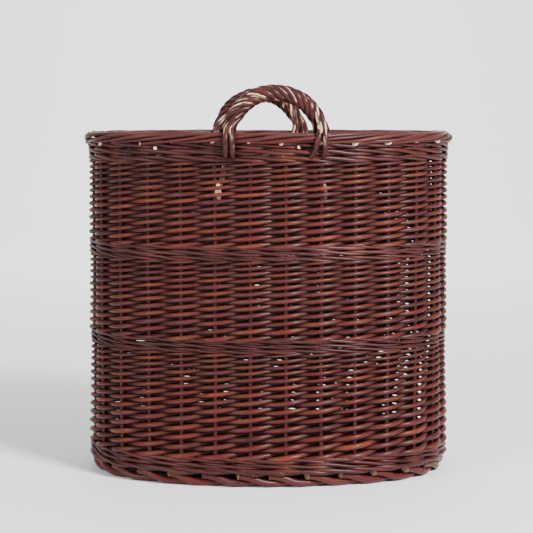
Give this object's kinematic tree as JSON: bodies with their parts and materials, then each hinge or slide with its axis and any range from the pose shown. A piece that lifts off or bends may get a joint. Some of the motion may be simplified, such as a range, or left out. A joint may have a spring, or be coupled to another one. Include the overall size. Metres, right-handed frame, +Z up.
{
  "type": "wicker log basket",
  "caption": "Oval log basket of dark unpeeled willow with wale bands, a rolled rod border, a rod foot and twisted rope handles standing up from the long sides.",
  "frame": {"origin": "on the ground under the middle of the basket", "axes": "+Z up out of the mouth, +X along the long axis of the oval, the front long side faces -Y"},
  "size_m": [0.514, 0.3628, 0.535],
  "materials": {
    "weaver_bark": "satin bark",
    "wale_bark": "satin bark",
    "border_bark": "satin bark",
    "stake_bark": "satin bark",
    "stick_bark": "satin bark",
    "handle_bark": "satin bark, scuffed"
  },
  "bodies": {
    "root": {"base_short_stick_1": "stick_bark", "base_short_stick_2": "stick_bark", "base_short_stick_3": "stick_bark", "base_short_stick_4": "stick_bark", "base_short_stick_5": "stick_bark", "base_short_stick_6": "stick_bark", "base_short_stick_7": "stick_bark", "base_short_stick_8": "stick_bark", "base_long_stick_1": "stick_bark", "base_long_stick_2": "stick_bark", "base_long_stick_3": "stick_bark", "base_weave": "weaver_bark", "side_stake_01": "stake_bark", "side_stake_02": "stake_bark", "side_stake_03": "stake_bark", "side_stake_04": "stake_bark", "side_stake_05": "stake_bark", "side_stake_06": "stake_bark", "side_stake_07": "stake_bark", "side_stake_08": "stake_bark", "side_stake_09": "stake_bark", "side_stake_10": "stake_bark", "side_stake_11": "stake_bark", "side_stake_12": "stake_bark", "side_stake_13": "stake_bark", "side_stake_14": "stake_bark", "side_stake_15": "stake_bark", "side_stake_16": "stake_bark", "side_stake_17": "stake_bark", "side_stake_18": "stake_bark", "side_stake_19": "stake_bark", "side_stake_20": "stake_bark", "side_stake_21": "stake_bark", "side_stake_22": "stake_bark", "side_stake_23": "stake_bark", "side_stake_24": "stake_bark", "side_stake_25": "stake_bark", "side_stake_26": "stake_bark", "side_stake_27": "stake_bark", "side_stake_28": "stake_bark", "foot_border": "border_bark", "border": "border_bark", "upsett_wale": "wale_bark", "lower_wale_band": "wale_bark", "upper_wale_band": "wale_bark", "top_wale": "wale_bark", "lower_siding": "weaver_bark", "middle_siding": "weaver_bark", "upper_siding": "weaver_bark", "front_handle_liner": "handle_bark", "front_handle_rope": "handle_bark", "front_handle_left_lacing": "handle_bark", "front_handle_right_lacing": "handle_bark", "back_handle_liner": "handle_bark", "back_handle_rope": "handle_bark", "back_handle_left_lacing": "handle_bark", "back_handle_right_lacing": "handle_bark"}
  },
  "joints": []
}
